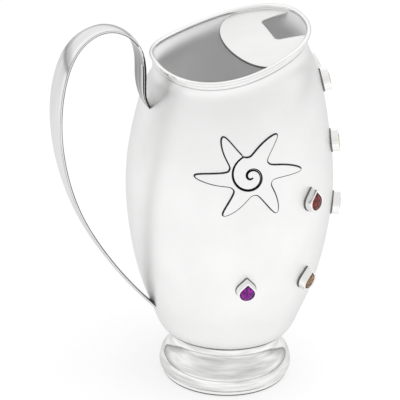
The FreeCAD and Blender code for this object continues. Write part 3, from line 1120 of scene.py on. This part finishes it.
def plain_white(name, level, glow):
    """Faintly mottled white that glows a little by itself."""
    material, tree, bsdf = shader(name)
    grain = noise(tree, (30, 30, 30), 3.0)
    share = ranged(tree, grain, 0.3, 0.7, 0.0, 1.0)
    colour = blended(tree, share, grey(level * 0.985), grey(level))
    tree.links.new(colour, bsdf.inputs["Base Color"])
    bsdf.inputs["Roughness"].default_value = 0.9
    bsdf.inputs["Emission Color"].default_value = (1, 1, 1, 1)
    bsdf.inputs["Emission Strength"].default_value = glow
    return material


# ---------------------------------------------------------------- stage

CAMERA_AZIMUTH = math.radians(-17.0)
CAMERA_ELEVATION = math.radians(25.36)
CAMERA_ROLL = math.radians(1.21)
CAMERA_DISTANCE = 2.0
CAMERA_LENS = 286.3
CAMERA_TARGET = Vector((0.0, 0.0, 0.12))
CAMERA_ASIDE = 0.0181
CAMERA_BELOW = 0.0010

FLOOR_REACH = 4.0
FLOOR_LEVEL = 0.20
FLOOR_GLOW = 0.74
TOP_LIGHT_PLACE = (0.2, -0.3, 1.6)
TOP_LIGHT_AIM = (0, 0, 0.1)
TOP_LIGHT_SIZE = (1.2, 1.2)
TOP_LIGHT_POWER = 14.0


def make_camera():
    back = Vector(
        (
            math.sin(CAMERA_AZIMUTH) * math.cos(CAMERA_ELEVATION),
            -math.cos(CAMERA_AZIMUTH) * math.cos(CAMERA_ELEVATION),
            math.sin(CAMERA_ELEVATION),
        )
    )
    level_right = (-back).cross(Z).normalized()
    level_up = back.cross(level_right)
    right = level_right * math.cos(CAMERA_ROLL) + level_up * math.sin(CAMERA_ROLL)
    up = back.cross(right)
    data = bpy.data.cameras.new("camera")
    data.lens = CAMERA_LENS
    data.sensor_width = 36.0
    data.clip_end = 50.0
    camera = bpy.data.objects.new("camera", data)
    bpy.context.scene.collection.objects.link(camera)
    place = CAMERA_TARGET - right * CAMERA_ASIDE - up * CAMERA_BELOW + back * CAMERA_DISTANCE
    camera.matrix_world = Matrix(
        (
            (right.x, up.x, back.x, place.x),
            (right.y, up.y, back.y, place.y),
            (right.z, up.z, back.z, place.z),
            (0, 0, 0, 1),
        )
    )
    bpy.context.scene.camera = camera


def area_light(name, place, aim, size, power):
    data = bpy.data.lights.new(name, "AREA")
    data.shape = "RECTANGLE"
    data.size, data.size_y = size
    data.energy = power
    light = bpy.data.objects.new(name, data)
    bpy.context.scene.collection.objects.link(light)
    light.location = place
    light.rotation_mode = "QUATERNION"
    light.rotation_quaternion = (Vector(aim) - Vector(place)).to_track_quat("-Z", "Y")
    return light


def calculated(tree, operation, first, second=0.0):
    """One Math node; each input is a socket or a number."""
    made = tree.nodes.new("ShaderNodeMath")
    made.operation = operation
    for place, value in enumerate((first, second)):
        if isinstance(value, (int, float)):
            made.inputs[place].default_value = value
        else:
            tree.links.new(value, made.inputs[place])
    return made.outputs[0]


def around(tree, value, middle, half, soft):
    """1 within half of the middle, falling to 0 over soft."""
    distance = calculated(tree, "ABSOLUTE", calculated(tree, "SUBTRACT", value, middle))
    share = ranged(tree, distance, half, half + soft, 1.0, 0.0)
    share.node.interpolation_type = "SMOOTHSTEP"
    return share


# Greyer places in the white world, in degrees: azimuth from CAMERA_AZIMUTH (90 is on the
# camera's right), half width, softness, elevation, half height, softness, and depth.
TENT_SHADES = [
    (0.0, 55.0, 42.0, 38.0, 22.0, 5.0, 0.20),
    (0.0, 180.0, 5.0, 1.5, 1.5, 1.5, 0.45),
    (180.0, 70.0, 40.0, 4.0, 3.0, 12.0, 0.34),
]
TENT_BEHIND = 150.0
TENT_LOW = 1.0
TENT_HIGH = 1.08


def make_world():
    """White surroundings with a few greyer places, which the polished silver shows."""
    world = bpy.data.worlds.new("tent")
    bpy.context.scene.world = world
    world.use_nodes = True
    tree = world.node_tree
    background = tree.nodes["Background"]
    where = tree.nodes.new("ShaderNodeTexCoord")
    split = tree.nodes.new("ShaderNodeSeparateXYZ")
    tree.links.new(where.outputs["Generated"], split.inputs["Vector"])
    x, y, z = split.outputs
    backwards = calculated(tree, "MULTIPLY", y, -1.0)
    azimuth = calculated(tree, "DEGREES", calculated(tree, "ARCTAN2", x, backwards))
    azimuth = calculated(tree, "SUBTRACT", azimuth, math.degrees(CAMERA_AZIMUTH))
    azimuth = calculated(tree, "ADD", azimuth, 180.0)
    azimuth = calculated(tree, "FLOORED_MODULO", azimuth, 360.0)
    azimuth = calculated(tree, "SUBTRACT", azimuth, 180.0)
    elevation = calculated(tree, "DEGREES", calculated(tree, "ARCSINE", z))
    level = ranged(tree, z, -1.0, 1.0, TENT_LOW, TENT_HIGH)
    for middle, half, soft, height, half_height, soft_height, depth in TENT_SHADES:
        turned_to = azimuth
        if middle > TENT_BEHIND:
            turned_to = calculated(tree, "ABSOLUTE", azimuth)
        shade = calculated(
            tree,
            "MULTIPLY",
            around(tree, turned_to, middle, half, soft),
            around(tree, elevation, height, half_height, soft_height),
        )
        shade = calculated(tree, "MULTIPLY", shade, depth)
        level = calculated(tree, "MULTIPLY", level, calculated(tree, "SUBTRACT", 1.0, shade))
    rays = tree.nodes.new("ShaderNodeLightPath")
    seen = calculated(tree, "MAXIMUM", rays.outputs["Is Camera Ray"], level)
    tree.links.new(seen, background.inputs["Color"])
    background.inputs["Strength"].default_value = 1.0


def make_stage():
    make_camera()
    make_world()
    mesh = bpy.data.meshes.new("floor")
    reach = FLOOR_REACH
    mesh.from_pydata(
        [(-reach, -reach, 0), (reach, -reach, 0), (reach, reach, 0), (-reach, reach, 0)],
        [],
        [(0, 1, 2, 3)],
    )
    floor = add_object("floor", mesh, [plain_white("floor_white", FLOOR_LEVEL, FLOOR_GLOW)])
    top = area_light("top_soft", TOP_LIGHT_PLACE, TOP_LIGHT_AIM, TOP_LIGHT_SIZE, TOP_LIGHT_POWER)
    top.visible_glossy = False
    bpy.context.scene.view_settings.view_transform = "Standard"


# ---------------------------------------------------------------- the object

FINE_MARKS = (0.04, 0.05)
SOFT_MARKS = (0.05, 0.05)
# Noise scales round and along the strap, and on the foot, where the streaks run round.
STRAP_STREAKS = {"clouds": (16, 14), "brushed": (90, 30)}
FOOT_STREAKS = (45, 45, 420)

satin = silver(
    "satin_silver", (0.935, 0.933, 0.93), (0.905, 0.903, 0.90), (0.34, 0.44), edge_tint=0.72
)
inner_satin = silver("inner_silver", grey(0.955), grey(0.935), (0.6, 0.7), metallic=0.05)
guard_satin = silver("guard_silver", (0.86, 0.86, 0.855), (0.83, 0.83, 0.825), (0.34, 0.44))
polished = silver(
    "polished_silver",
    (0.935, 0.932, 0.925),
    (0.905, 0.902, 0.895),
    (0.05, 0.12),
    *FINE_MARKS,
    edge_tint=0.8,
)
foot_silver = silver(
    "foot_silver",
    (0.935, 0.932, 0.925),
    (0.62, 0.62, 0.615),
    (0.05, 0.16),
    *FINE_MARKS,
    edge_tint=0.8,
    clouds=FOOT_STREAKS,
)
strap_outer = silver(
    "strap_outer_silver",
    (0.87, 0.87, 0.865),
    grey(0.70),
    (0.08, 0.2),
    *FINE_MARKS,
    edge_tint=0.8,
    **STRAP_STREAKS,
)
# Painted shade: the dark inner face of the strap near the tongue, where it faces the body.
painted_shade_strap_inner = silver(
    "strap_inner_silver", grey(0.38), grey(0.10), (0.12, 0.3), *SOFT_MARKS, **STRAP_STREAKS
)
side_silver = silver("side_silver", grey(0.88), grey(0.72), (0.1, 0.2), *SOFT_MARKS)
# Painted shade: the dark lines along the strap's narrow sides and the dark foot of each bezel.
painted_edge_shade = silver("painted_edge_shade", grey(0.20), grey(0.10), (0.15, 0.3), *SOFT_MARKS)
# Soft painted shade: the grey line under the rim wire on the body and the grey far edge of the
# strap's outer face.
painted_soft_shade = silver("soft_edge_silver", grey(0.66), grey(0.52), (0.2, 0.35), *SOFT_MARKS)
# Painted shade: dark bands at the body's joint to the foot, at the foot's joints, along the base
# ring's lower edge and along the guard's rear edge.
painted_shade_silver = silver("painted_shade_silver", grey(0.22), grey(0.10), (0.3, 0.45), *SOFT_MARKS)
# Black oxide in the star's groove and sides; on the handle's tongue the same black is painted
# shade.
black = oxide_and_shade_black("oxidised_silver")
gems = {
    "amethyst": gem_painted_light_copies("amethyst", (0.09, 0.001, 0.13), (0.38, 0.004, 0.42), 260),
    "garnet": gem_painted_light_copies("garnet", (0.12, 0.010, 0.008), (0.25, 0.03, 0.022), 260),
    "smoky_quartz": gem_painted_light_copies("smoky_quartz", (0.26, 0.06, 0.045), (0.34, 0.20, 0.07), 240),
    "citrine": gem_painted_light_copies("citrine", (0.42, 0.32, 0.04), (0.70, 0.62, 0.20), 240),
}

make_stage()
skin = make_body(satin, inner_satin, painted_shade_silver, painted_soft_shade)
make_mouth_wire(polished)
make_guard(guard_satin, painted_shade_silver)
make_foot(foot_silver, painted_shade_silver)
make_foot_ring(polished, painted_shade_silver)
make_handle([strap_outer, painted_edge_shade, painted_shade_strap_inner, side_silver, black, painted_soft_shade], skin)
for flank, side in (("near", -1), ("far", 1)):
    make_star("star_plate_" + flank, side, "star_" + flank, satin, black, skin)
    for place, colour in STONE_COLOURS.items():
        spot = place + "_" + flank
        seat = seat_place("stone_" + spot, skin)
        make_bezel("bezel_cup_" + spot, "bezel_" + spot, seat, polished, satin, painted_edge_shade)
        stone = make_stone("gem_" + spot, "stone_" + spot, seat, gems[colour])
        finish_piece(stone, colour, "stone_" + spot)
